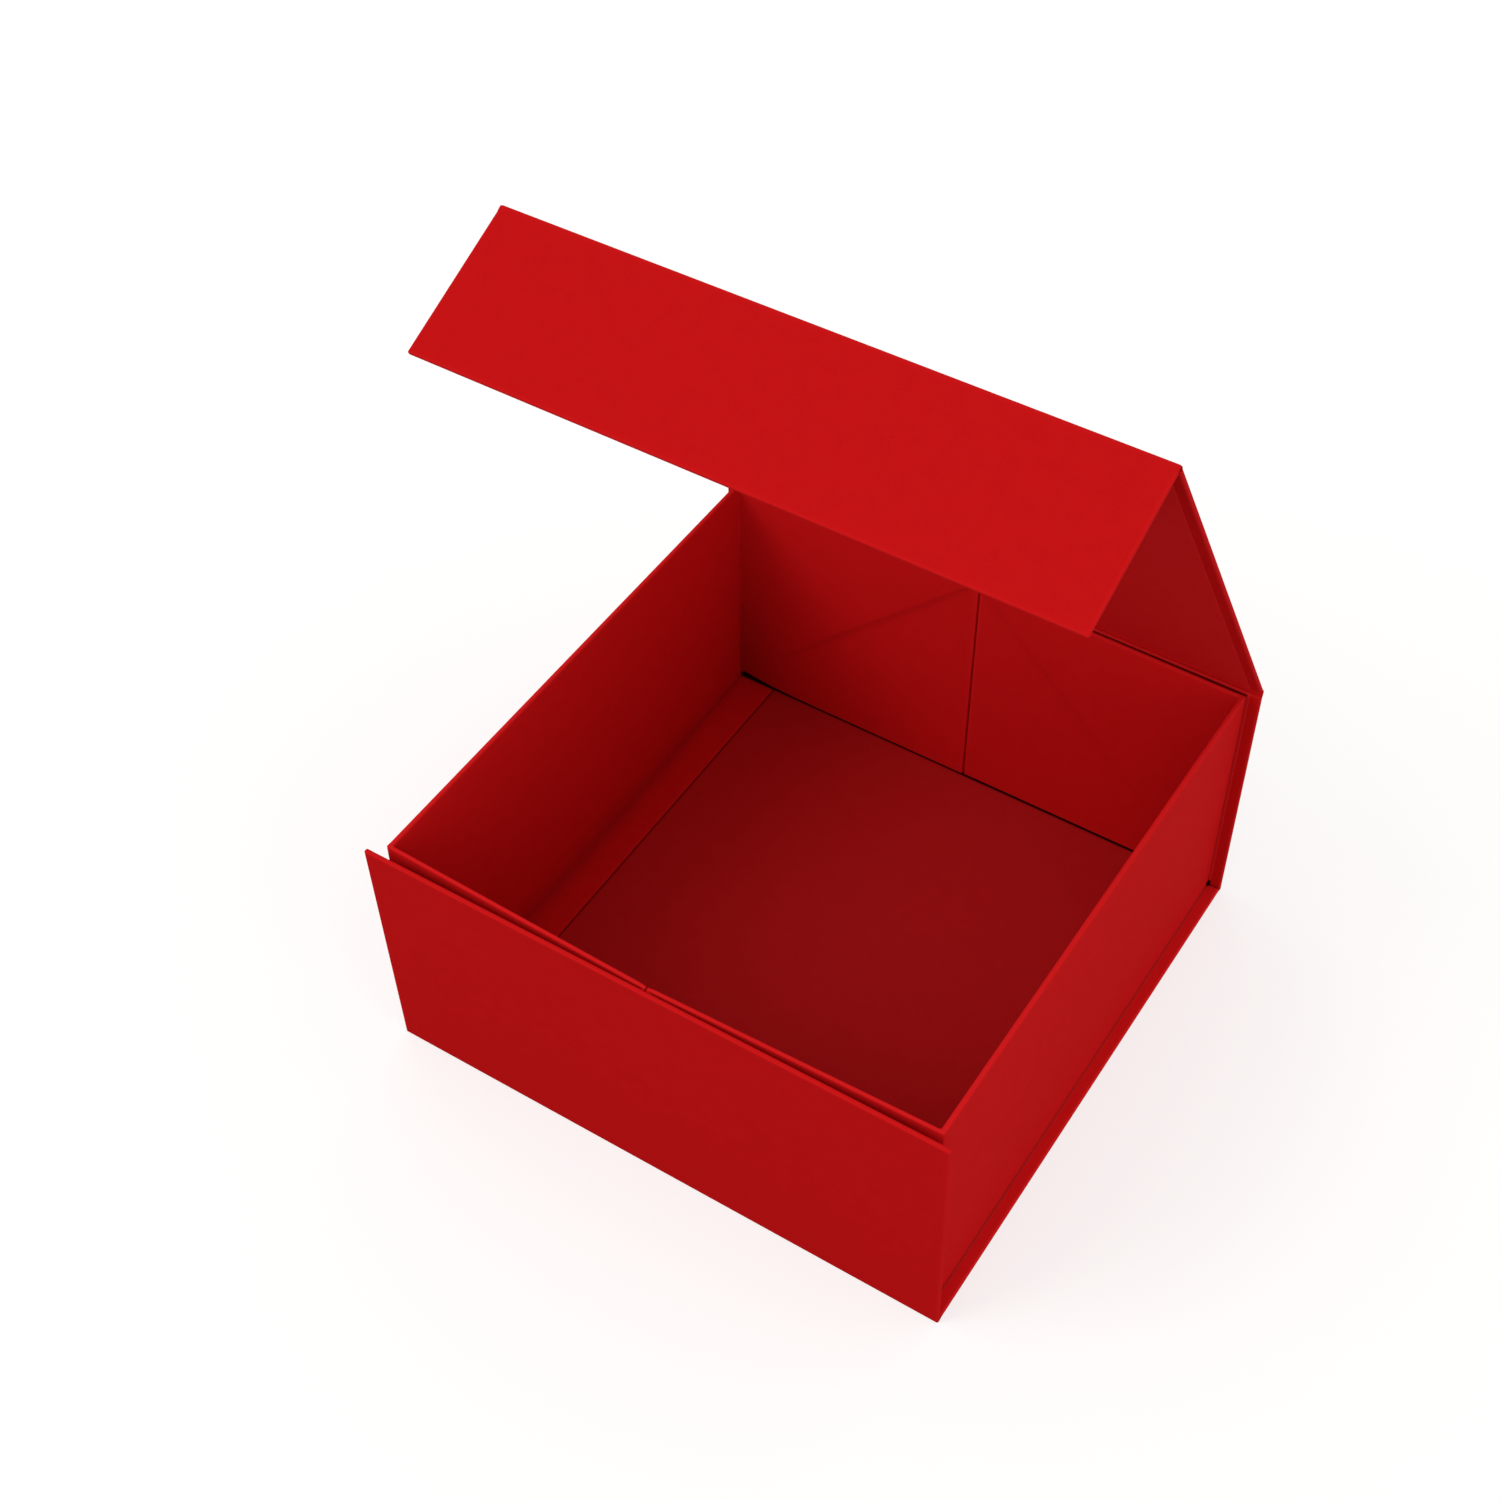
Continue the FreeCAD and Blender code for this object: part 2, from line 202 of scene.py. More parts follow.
# %% [markdown]
# ## Two skins make a piece
# A sheet or a board is two grids of the same shape, the outer skin and the inner skin, with a band of faces
# round the rim. It is closed, it has a true thickness, and it needs no modifier. Solidify would give the
# thickness too, but the same all over. Each point also keeps two values for its colour: one for wear and a
# painted highlight near a folded edge, and one for painted shade in a crease, a corner or a gap.

# %% Make a closed piece from two skins
def grid_faces(rows, columns, start, flip):
    """Four corners of each cell of a grid whose points are numbered row by row from `start`."""
    index = start + np.arange(rows * columns).reshape(rows, columns)
    faces = np.stack([index[:-1, :-1], index[1:, :-1], index[1:, 1:], index[:-1, 1:]], -1).reshape(-1, 4)
    return faces[:, ::-1] if flip else faces


def rim_faces(rows, columns):
    """A band of faces from the first skin's border to the second's."""
    index = np.arange(rows * columns).reshape(rows, columns)
    border = np.concatenate([index[0, :-1], index[:-1, -1], index[-1, :0:-1], index[:0:-1, 0]])
    after, count = np.roll(border, -1), rows * columns
    return np.stack([border, after, after + count, border + count], -1)


def sandwich(name, outer, inner, wear_and_highlight=None, painted_shade=None, smooth=40):
    """A closed mesh of two skins, in millimetres. If its signed volume is negative, its faces are turned."""
    rows, columns, _ = outer.shape
    points = np.concatenate([outer.reshape(-1, 3), inner.reshape(-1, 3)])
    faces = np.concatenate([grid_faces(rows, columns, 0, False),
                            grid_faces(rows, columns, rows * columns, True), rim_faces(rows, columns)])
    a, b, c, d = (points[faces[:, k]] for k in range(4))
    volume = (np.einsum("ij,ij->i", a, np.cross(b, c)) + np.einsum("ij,ij->i", a, np.cross(c, d))).sum() / 6
    if volume < 0:
        faces = faces[:, ::-1]
    mesh = bpy.data.meshes.new(name)
    mesh.from_pydata(points * MM, [], faces.tolist())
    mesh.polygons.foreach_set("use_smooth", np.ones(len(faces), bool))
    mesh.set_sharp_from_angle(angle=math.radians(smooth))
    for label, values in (("wear_and_highlight", wear_and_highlight), ("painted_shade", painted_shade)):
        data = np.zeros(len(points)) if values is None else np.concatenate([v.ravel() for v in values])
        mesh.attributes.new(label, "FLOAT", "POINT").data.foreach_set("value", data.astype(np.float32))
    piece = bpy.data.objects.new(name, mesh)
    scene.collection.objects.link(piece)
    print(f"{name}: {len(faces)} faces, {abs(volume) / 1000:.2f} cubic cm")
    return piece


# %% [markdown]
# ## The finish: dyed paper on greyboard
# The covering is dyed art paper, calendered and glued down. It shows one strong red, hardly any gloss, and a
# fine mottle where the fibres took more or less dye. On a folded edge the red is a touch brighter, from wear
# of the stretched fibres and a painted highlight, and in creases, corners and gaps a painted shade darkens
# it.
# The lining is the same paper, a little lighter, and on the floor a darker, duller red. A usual gloss would
# turn the faces pink in an even white surround, so the specular level is almost nothing. Fibres are about
# 0.02 mm wide, too fine to show, so the grain is drawn at 0.5 mm. Noise on Object coordinates needs no
# unwrapping and doesn't repeat, as an image of paper would.

# %% Colours and node helper
def srgb(code):
    """An sRGB hex code as linear red, green, blue and an alpha of one."""
    channels = np.array([int(code[i:i + 2], 16) for i in (1, 3, 5)]) / 255
    linear = np.where(channels <= 0.04045, channels / 12.92, ((channels + 0.055) / 1.055) ** 2.4)
    return (*linear, 1.0)


def add_node(owner, kind, links=None, values=None, **settings):
    """Adds a node with its settings, the fixed values of its inputs, and the links into its other inputs."""
    node = owner.node_tree.nodes.new(kind)
    for name, value in settings.items():
        setattr(node, name, value)
    for name, value in (values or {}).items():
        node.inputs[name].default_value = value
    for name, source in (links or {}).items():
        owner.node_tree.links.new(source, node.inputs[name])
    return node


def new_material(name, values):
    """A material with its output, a Principled shader with these fixed values, and Object coordinates."""
    material = bpy.data.materials.new(name)
    material.use_nodes = True
    material.node_tree.nodes.clear()
    shader = add_node(material, "ShaderNodeBsdfPrincipled", values=values)
    add_node(material, "ShaderNodeOutputMaterial", {"Surface": shader.outputs[0]})
    return material, shader, add_node(material, "ShaderNodeTexCoord").outputs["Object"]


def join(material, source, shader, socket):
    """Links an output into one of the shader's inputs."""
    material.node_tree.links.new(source, shader.inputs[socket])


print("linear value of a middle grey:", round(srgb("#808080")[0], 3))


# %% Red paper
NOISE_RANGE = {"From Min": 0.3, "From Max": 0.7}     # nearly all of a noise's values lie in it


def grain(material, place, size, stretch=(1, 1, 1), detail=3.0, low=0.0, high=1.0):
    """Noise with lumps `size` mm across, drawn out by `stretch`: as it is, and spread from low to high."""
    scale = [1 / (size * MM * factor) for factor in stretch]
    mapping = add_node(material, "ShaderNodeMapping", {"Vector": place}, {"Scale": scale})
    noise = add_node(material, "ShaderNodeTexNoise", {"Vector": mapping.outputs[0]},
                     {"Scale": 1.0, "Detail": detail})
    raw = noise.outputs["Fac"]
    limits = {**NOISE_RANGE, "To Min": low, "To Max": high}
    return raw, add_node(material, "ShaderNodeMapRange", {"Value": raw}, limits).outputs[0]


def layer_tones(material, first, layers):
    """Starts from the tone `first` and lays each further tone over it by its share, an output from 0 to 1."""
    below = None
    for share, tone in layers:
        links, values = {0: share}, {7: srgb(tone)}
        if below is None:
            values[6] = srgb(first)
        else:
            links[6] = below
        below = add_node(material, "ShaderNodeMix", links, values, data_type="RGBA").outputs[2]
    return below


def dyed_paper(name, deep, main, bright, roughness):
    """Mottled dye from `deep` to `main`, `bright` for edge wear and painted highlight, painted shade, fibre
    bump.
    """
    faint_gloss = {"Roughness": roughness, "Specular IOR Level": 0.003, "Specular Tint": srgb("#F03838")}
    material, shader, place = new_material(name, faint_gloss)
    _, mottle = grain(material, place, 6.0)
    fibres, speck = grain(material, place, 0.5, (1, 2.5, 1), 4.0)
    wear_and_highlight, painted_shade = (add_node(material, "ShaderNodeAttribute", attribute_name=label).outputs["Fac"]
                     for label in ("wear_and_highlight", "painted_shade"))
    # Edges get the bright tone for wear and a painted highlight; #300203 is the painted shade of creases,
    # corners and gaps.
    tones = ((mottle, main), (speck, main), (wear_and_highlight, bright), (painted_shade, "#300203"))
    join(material, layer_tones(material, deep, tones), shader, "Base Color")
    limits = {**NOISE_RANGE, "To Min": roughness - 0.05, "To Max": roughness + 0.05}
    matt = add_node(material, "ShaderNodeMapRange", {"Value": fibres}, limits)
    join(material, matt.outputs[0], shader, "Roughness")
    bump = add_node(material, "ShaderNodeBump", {"Height": fibres}, {"Strength": 0.25, "Distance": 0.03 * MM})
    join(material, bump.outputs[0], shader, "Normal")
    return material


cover_paper = dyed_paper("dyed_art_paper_satin", "#C01214", "#C61416", "#D0191B", 0.5)
tray_paper = dyed_paper("dyed_tray_paper_satin", "#CC1719", "#D2191B", "#DA1E20", 0.5)
lining_paper = dyed_paper("dyed_lining_paper_matt", "#CE1C1E", "#D41E20", "#DA2426", 0.6)
floor_paper = dyed_paper("dyed_floor_paper_matt", "#B31D1F", "#B91F21", "#C32527", 0.6)
print("papers:", cover_paper.name, tray_paper.name, lining_paper.name, floor_paper.name)

# %% [markdown]
# ## Hidden materials
# Greyboard is pressed from waste paper: grey-brown, dull, with dark and pale flecks about a millimetre long.
# The magnets are neodymium discs plated with bright nickel. The tape is a double-sided film, off-white and
# slightly glossy, with a crinkle from the roll. All of it is inside the box, yet a cut-open view shows it.
# Each CAD node gets one of these too, so that a node that is shown as it is has its own material.

# %% Greyboard, nickel and tape
def greyboard():
    """Grey-brown pulp with long flecks of two tones."""
    dull = {"Roughness": 0.9, "Specular IOR Level": 0.2}
    material, shader, place = new_material("greyboard_pressed_pulp", dull)
    _, clouds = grain(material, place, 4.0)
    _, flecks = grain(material, place, 0.7, (2, 1, 1), 5.0)
    tones = ((clouds, "#A39C92"), (flecks, "#7C766E"))
    join(material, layer_tones(material, "#8E8880", tones), shader, "Base Color")
    bump = add_node(material, "ShaderNodeBump", {"Height": flecks}, {"Strength": 0.4, "Distance": 0.05 * MM})
    join(material, bump.outputs[0], shader, "Normal")
    return material


def nickel_plate():
    """Bright plated metal with fine turning marks that change its roughness."""
    metal = {"Metallic": 1.0, "Specular IOR Level": 0.5}
    material, shader, place = new_material("nickel_plated_magnet", metal)
    _, marks = grain(material, place, 0.3, (8, 1, 1))
    join(material, layer_tones(material, "#C9C6BE", ((marks, "#D6D3CB"),)), shader, "Base Color")
    _, polish = grain(material, place, 0.3, (8, 1, 1), low=0.18, high=0.34)
    join(material, polish, shader, "Roughness")
    return material


def film_tape():
    """Off-white film with a fine crinkle across the roll."""
    glossy = {"Roughness": 0.35, "Specular IOR Level": 0.4}
    material, shader, place = new_material("double_sided_film_tape", glossy)
    crinkle, shade = grain(material, place, 1.2, (1, 5, 1))
    join(material, layer_tones(material, "#E4E0D4", ((shade, "#EFECE2"),)), shader, "Base Color")
    bump = add_node(material, "ShaderNodeBump", {"Height": crinkle}, {"Distance": 0.05 * MM})
    join(material, bump.outputs[0], shader, "Normal")
    return material


board_grey, plated, film = greyboard(), nickel_plate(), film_tape()
for name, node in frame["nodes"].items():
    finish = plated if name.endswith("magnets") else film if name.endswith("tape") else \
        board_grey if name.endswith("board") else cover_paper
    node.data.materials.clear()
    node.data.materials.append(finish)
print("CAD nodes given their materials")


# %% Finish a piece
def finish_piece(piece, node, material, body=None):
    """Gives a piece its slot and material, hides the CAD node that it stands for, and rides it on its body.
    """
    piece.data.materials.append(material)
    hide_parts(node)
    if body:
        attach(piece, body)
    return piece


# %% [markdown]
# ## Covered panels
# A panel is a board in a paper skin: flat faces, round edges at both sides and at a free edge. At a fold the
# outer paper runs straight on into the next panel, so only the inner edge is round there. A solid with a
# bevel would do, but the two-skin grid lets each edge of each face have its own radius. The board inside is
# the same shape drawn in by one paper, so that no grey shows through the skin.

# %% Grid of a panel
CORNER = 0.5         # radius of a free corner, seen from the face
NEXT_ROWS = (1.2, 2.5)           # two more rows inside a round edge
STEP_SKIN, STEP_CORE = 6, 12     # rows and columns between the edges
FAR = 99.0           # added to a distance that must not count


def round_corners(x, y, to_side, to_low, to_high, half_width, low, high, radius):
    """Squeezes a free corner's square of points into a quarter disc: by the larger offset over the length."""
    for to_end, end, sign in ((to_low, low, -1), (to_high, high, 1)):
        across, along = radius - to_side, radius - to_end
        corner = (across > 0) & (along > 0)
        shrink = np.where(corner, np.maximum(across, along) / np.maximum(np.hypot(across, along), 1e-9), 1)
        x = np.where(corner, np.sign(x) * (half_width - radius + across * shrink), x)
        y = np.where(corner, end - sign * (radius - along * shrink), y)
    return x, y


def panel_grid(low, high, soft_low, soft_high, inset=0.0, step=STEP_SKIN, corner=CORNER,
               more_x=(), more_y=()):
    """Columns across the width and rows up the panel, with each point's distance to the sides and ends.

    `more_x` and `more_y` are further places for a column or a row, where a fine mark needs them.
    """
    half_width = HALF_WIDTH - inset
    edge = soft_offsets(SOFT, NEXT_ROWS)
    x = stations(2 * half_width, edge, edge, int(2 * HALF_WIDTH / step))[0]
    x = np.sort(np.concatenate([x, np.asarray(more_x) + half_width]))
    y = stations(high - low, edge, edge, int((high - low) / step) + 1)[0]
    y = np.sort(np.concatenate([y, np.asarray(more_y) - low]))
    to_side = np.minimum(x, x[-1] - x)[:, None] + 0 * y
    to_low, to_high = y[None] + 0 * x[:, None], (y[-1] - y)[None] + 0 * x[:, None]
    every = np.minimum(np.minimum(to_side, to_low), to_high)
    free_low = to_low if soft_low else to_low + FAR
    free_high = to_high if soft_high else to_high + FAR
    free = np.minimum(np.minimum(to_side, free_low), free_high)
    x_grid, y_grid = x[:, None] - half_width + 0 * y, y[None] + low + 0 * x[:, None]
    x_grid, y_grid = round_corners(x_grid, y_grid, to_side, free_low, free_high,
                                   half_width, low, high, corner)
    return x_grid, y_grid, free, every


print("a skin's grid has", panel_grid(0, FRONT_HEIGHT, False, True)[0].shape, "points")


# %% Covered panels and their boards
WEAR_AND_HIGHLIGHT_WIDTH = 0.7     # of a folded edge's brighter line, wear and painted highlight


def wear_and_highlight_falloff(distance):
    """Wear and painted highlight of an edge: e to the minus the square of the distance over their width."""
    return np.exp(-(distance / WEAR_AND_HIGHLIGHT_WIDTH) ** 2)


def covered_panel(name, low, high, soft_low, soft_high):
    """The skin of a panel. The outer face is round at its free edges, and the inner face at all its edges."""
    x, y, free, every = panel_grid(low, high, soft_low, soft_high)
    outer = on_panel(name, x, y, round_off(free, SOFT))
    inner = on_panel(name, x, y, PANEL - round_off(every, SOFT))
    piece = sandwich(f"{name}_cover", outer, inner, (wear_and_highlight_falloff(free), wear_and_highlight_falloff(every)))
    material = tray_paper if name == "base" else cover_paper
    return finish_piece(piece, f"{name}_wrap", material, name)


def panel_core(name, low, high, soft_low, soft_high):
    """The board in a skin: the skin's own shape, set in by one paper on every side."""
    x, y, _, every = panel_grid(low + PAPER, high - PAPER, soft_low, soft_high,
                                PAPER, STEP_CORE, CORNER - PAPER)
    drop = PAPER + round_off(every, SOFT - PAPER)
    piece = sandwich(f"{name}_core", on_panel(name, x, y, drop), on_panel(name, x, y, PANEL - drop))
    return finish_piece(piece, f"{name}_board", board_grey, name)


PANELS = {  # first and last row, whether each is a free edge, and the lining's node
    "base": (-HALF_DEPTH + FOLD, HALF_DEPTH - FOLD, False, False, "floor_liner"),
    "front_panel": (GAP, FRONT_HEIGHT, False, True, "front_panel_liner"),
    "back_panel": (GAP, BACK_HEIGHT - FOLD, False, False, "back_panel_liner"),
    "lid": (FOLD, LID_LENGTH - FOLD, False, False, "lid_liner"),
    "flap": (FOLD, FLAP_HEIGHT, False, True, "flap_liner"),
}
for panel_name, (low, high, soft_low, soft_high, _) in PANELS.items():
    covered_panel(panel_name, low, high, soft_low, soft_high)
    panel_core(panel_name, low, high, soft_low, soft_high)

# %% [markdown]
# ## Lining sheets
# The covering is turned in round each free edge by some four millimetres, and a lining sheet hides its raw
# edge. The sheet is nearly one paper higher than the turned-in border, so its outline shows as a fine step.
# On the base the sheet is also pressed down along the side walls' strips, which leaves a hair-thin groove.
# A painted shade darkens that groove and a line under the half walls' feet, and on the back panel a band at
# its foot and a line in the gap behind the tray's top edge. Such marks are far narrower than the grid's
# cells, so the grid gets a few rows or columns more just there.
# Their painted shade is kept as a value on the points, so it stays in place in every view.

# %% Marks in the lining
LINING = 0.16        # how far the sheet stands above the border
SHEET_SOFT = 0.12    # radius of the sheet's own edge
SHEET_SINK = 0.05    # how far its underside goes into the panel's face
STRIP_WIDTH = 15.0
STRIP_GAP = 0.3      # from the wall's inner face
STRIP_END = WALL + STRIP_GAP + STRIP_WIDTH     # side wall's outer face to the strip's free edge
STRIP_LINE = TRAY_X - STRIP_END - 0.3          # where the floor is pressed beside a strip
WALL_LINE = HALF_DEPTH - PANEL - TAPE - HALF   # inner face of an end of the tray, at its foot
GAP_SHADOW_LINE = TRAY_TOP - 0.9                      # where the gap behind the tray's top edge gets a painted shadow on the back panel
SHADOW_BAND_TOP = TRAY_FOOT + 1.8                     # the back panel's lining has a painted shadow up to here


def groove(distance, depth, width):
    """Depth times e to the minus (distance over width) squared."""
    return depth * np.exp(-(distance / width) ** 2)


MORE_X = {"base": [side * (STRIP_LINE + step) for side in (-1, 1) for step in (-0.6, -0.3, 0, 0.3, 0.6)]}
MORE_Y = {
    "base": [end * (WALL_LINE + step) for end in (-1, 1) for step in (-0.5, -0.2, 0.1)],
    "back_panel": [SHADOW_BAND_TOP - 0.6, SHADOW_BAND_TOP],
}


def lining_marks(name, x, y):
    """How far each point is pressed down, and how much painted shade it gets, from 0 to 1."""
    if name == "back_panel":
        # Back panel: a painted shadow in the gap behind the tray's top edge, and a painted shadow band at its
        # foot
        gap_shadow = groove(GAP_SHADOW_LINE - y, 0.9, 0.5) * (np.abs(x) < TRAY_X)
        return 0 * x, np.maximum(gap_shadow, np.clip((SHADOW_BAND_TOP - y) / 0.6, 0, 1))
    if name == "base":
        # Base: a real groove beside each strip with painted shade in it, and a painted shadow under the half
        # walls' feet
        beside = np.abs(np.abs(x) - STRIP_LINE)
        shadow_under_ends = groove(np.minimum(np.abs(y) - WALL_LINE, 0), 1.0, 0.35)
        return groove(beside, 0.15, 0.35), np.maximum(groove(beside, 0.9, 0.3), shadow_under_ends)
    return 0 * x, 0 * x


print(f"pressed lines at {STRIP_LINE:.1f} mm across and {WALL_LINE:.1f} mm along the base")


# %% Lining sheets
def lining_sheet(name, low, high, soft_low, soft_high, node):
    """A thin sheet inside the border. It follows the round edge at a fold, and ends short of a free edge."""
    start, stop = low + (MARGIN if soft_low else 0), high - (MARGIN if soft_high else 0)
    x, y, free, _ = panel_grid(start, stop, soft_low, soft_high, MARGIN,
                               more_x=MORE_X.get(name, ()), more_y=MORE_Y.get(name, ()))
    to_fold = np.minimum(FAR if soft_low else y - start, FAR if soft_high else stop - y)
    sunk, painted_shade = lining_marks(name, x, y)
    top = PANEL + LINING - round_off(free, SHEET_SOFT) - round_off(to_fold, SOFT) - sunk
    skins = [on_panel(name, x, y, z) for z in (top - LINING - SHEET_SINK, top)]
    # the sheet's edge gets wear and a painted highlight, and the marks give painted shade
    piece = sandwich(f"{name}_lining", *skins, (0 * x, 0.2 * wear_and_highlight_falloff(free)), (painted_shade, painted_shade))
    material = floor_paper if name == "base" else lining_paper
    return finish_piece(piece, node, material, name)


for panel_name, values in PANELS.items():
    lining_sheet(panel_name, *values)

# %% [markdown]
# ## The four folds
# Between two boards there is only paper: the covering outside and the lining inside, pressed together into
# the gap. Folded, it is a round spine outside and a groove inside. Each strip is a profile of two lines
# carried across the width. It is made where the box stands now and rides on no body. One mesh for the
# whole covering would need weights for five bodies.

# %% Fold profile
PAPER_PAIR = 0.32    # covering and lining together, at the fold
TUCK = 0.06          # the strip's inner line starts this far inside the board's end
TUCK_RISE = 0.6      # and follows that end down to this height
PROFILE_POINTS = 41


def along(points, count):
    """`count` points equally spaced along a line through the given ones."""
    points = np.asarray(points, float)
    length = np.concatenate([[0], np.cumsum(np.linalg.norm(np.diff(points, axis=0), axis=1))])
    at = np.linspace(0, length[-1], count)
    return np.stack([np.interp(at, length, points[:, k]) for k in range(points.shape[1])], -1)


def arc_between(start, corner, end, count=13):
    """A quadratic curve: start, corner and end weighted by (1-t) squared, 2t(1-t) and t squared."""
    t = np.linspace(0, 1, count)[:, None]
    return (1 - t) ** 2 * start + 2 * t * (1 - t) * corner + t ** 2 * end


def fold_profile(hinge, before, after, reach_before, reach_after, spine, inward):
    """Outer and inner lines of a fold, across the box and upwards, from one board's end to the other's.

    before and after are the two panels' angles, and `inward` is 1 or -1 for a quarter turn left or right to
    their inner side. The outer line is straight, then a curve of size `spine` round the fold line, then
    straight. The inner line goes down one board's end, along the paper, and up.
    """
    a = np.array([math.cos(math.radians(before)), math.sin(math.radians(before))])
    b = np.array([math.cos(math.radians(after)), math.sin(math.radians(after))])
    in_a, in_b = inward * np.array([-a[1], a[0]]), inward * np.array([-b[1], b[0]])
    low, high = min(spine, reach_before), min(spine, reach_after)
    outer = np.concatenate([[hinge - reach_before * a], arc_between(hinge - low * a, hinge, hinge + high * b),
                            [hinge + reach_after * b]])
    middle = hinge + PAPER_PAIR * (in_a + in_b) / (1 + in_a @ in_b)
    wide = reach_after > 1       # the next board starts well past the fold line
    bend_from = low + (0.1 if wide else 0.3)
    bend_to = high + 0.1 if wide else 0.38
    edge_height = PANEL - SOFT
    down = [hinge - reach_before * a + edge_height * in_a,
            hinge - (reach_before - TUCK) * a + TUCK_RISE * in_a]
    bend = arc_between(hinge - bend_from * a + PAPER_PAIR * in_a, middle,
                       hinge + bend_to * b + PAPER_PAIR * in_b, 7)
    rise = [hinge + (reach_after - TUCK) * b + TUCK_RISE * in_b,
            hinge + reach_after * b + edge_height * in_b]
    inner = np.concatenate([down, bend, rise])
    return along(outer, PROFILE_POINTS), along(inner, PROFILE_POINTS), a, b


def fold_strip(name, node, hinge, before, after, reaches, spine, inward=1):
    """Carries the profile across the width. Near both ends the two lines draw together, as the covers do."""
    outer, inner, a, b = fold_profile(hinge, before, after, *reaches, spine, inward)
    sides = soft_offsets(SOFT, (1.5, 4))
    x = stations(2 * HALF_WIDTH, sides, sides, 30)[0]
    drop = round_off(np.minimum(x, x[-1] - x), SOFT)[:, None]
    across = inner - outer
    thick = np.linalg.norm(across, axis=1)[None]
    share = (np.minimum(drop, 0.42 * thick) / thick)[..., None]      # under a half: the lines never cross
    first, second = outer + share * across, inner - share * across
    line = np.repeat((x - HALF_WIDTH)[:, None, None], len(outer), 1)
    # wear and a painted highlight along the fold's spine
    wear_and_highlight = wear_and_highlight_falloff(np.linalg.norm(outer - hinge, axis=1) / 1.6)[None] + 0 * drop
    piece = sandwich(name, np.concatenate([line, first], -1), np.concatenate([line, second], -1),
                     (0.7 * wear_and_highlight, 0 * wear_and_highlight), smooth=60)
    finish_piece(piece, node, cover_paper)
    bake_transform(piece)
    return piece


fold_strip("lid_fold_strip", "lid_fold_paper", LID_FOLD, BACK_TILT, LID_TILT,
           (FOLD, FOLD), 1.6)
fold_strip("flap_fold_strip", "flap_fold_paper", FLAP_FOLD, LID_TILT, FLAP_TILT,
           (FOLD, FOLD), 0.8)
fold_strip("back_fold_strip", "back_fold_paper", BACK_FOLD, 0, BACK_TILT,
           (FOLD, GAP), 0.45)
fold_strip("front_fold_strip", "front_fold_paper", FRONT_FOLD, 180, 180 - FRONT_TILT,
           (FOLD, GAP), 0.45, -1)

# %% [markdown]
# ## Side walls
# A side wall is thicker board, covered over its top edge. Its two ends run on into the half walls, so they
# stay square, and its top is round. The wall can fold in flat on the base about its lower edge. It is two
# skins again, drawn flat and stood up by a tilt of ninety degrees.

# %% Side walls
def wall_skins(side, inset=0.0):
    """Both faces of a wall, or of its board one paper inside, and each point's distance to top or foot."""
    ends = np.array([0, 1.5])
    soft = soft_offsets(SOFT - inset, (1.5,))
    x = stations(2 * (WALL_END - inset), ends, ends, 34)[0]
    y = stations(RISE - 2 * inset, soft, soft, 16)[0]
    x_grid, y_grid = (x - WALL_END + inset)[:, None] + 0 * y, (y + TRAY_FOOT + inset)[None] + 0 * x[:, None]
    edge = np.minimum(y, y[-1] - y)[None] + 0 * x_grid
    drop = inset + round_off(edge, SOFT - inset)
    skins = [fold_up(np.stack([x_grid, y_grid, z], -1), PLACES[f"{side}_wall"]) for z in (drop, WALL - drop)]
    return skins, edge


def side_wall(side):
    """A wall's skin, round at the top and the foot and square at the ends, and the board inside it."""
    body = f"{side}_wall"
    skins, edge = wall_skins(side)
    piece = sandwich(f"{body}_cover", *skins, (wear_and_highlight_falloff(edge), wear_and_highlight_falloff(edge)))
    finish_piece(piece, f"{body}_wrap", tray_paper, body)
    skins, _ = wall_skins(side, PAPER)
    finish_piece(sandwich(f"{body}_core", *skins), f"{body}_board", board_grey, body)


for wall_side in ("left", "right"):
    side_wall(wall_side)

# %% [markdown]
# ## The strip under each side wall
# The lining of a side wall turns at the foot and is glued to the floor as a strip 15 mm wide. It is pressed
# into the corner at the ends and bridges it more softly in the middle, so the corner's radius grows from one
# to seven millimetres and back. The strip bends between the base and the wall. A profile whose radius is an
# array, one for each station along the wall, makes the whole surface in a few lines.

# %% Foot strips
STRIP_TOP = PANEL + 0.45         # its upper face on the floor
STRIP_THICK = 0.14
STRIP_UP = 9                     # how far it goes up the wall above the corner
STRIP_END_SOFT = 0.3             # radius of its free edge
FLAT_ROWS = np.array([0.15, 0.4, 0.7, 0.9, 0.975, 0.99, 0.997, 1.0])     # shares of the flat stretch


def corner_radius(y):
    """1 mm, plus 6 mm times the power 1.5 of one less the square of the place over the half length."""
    return 1.0 + 6.0 * np.clip(1 - (y / WALL_END) ** 2, 0, 1) ** 1.5


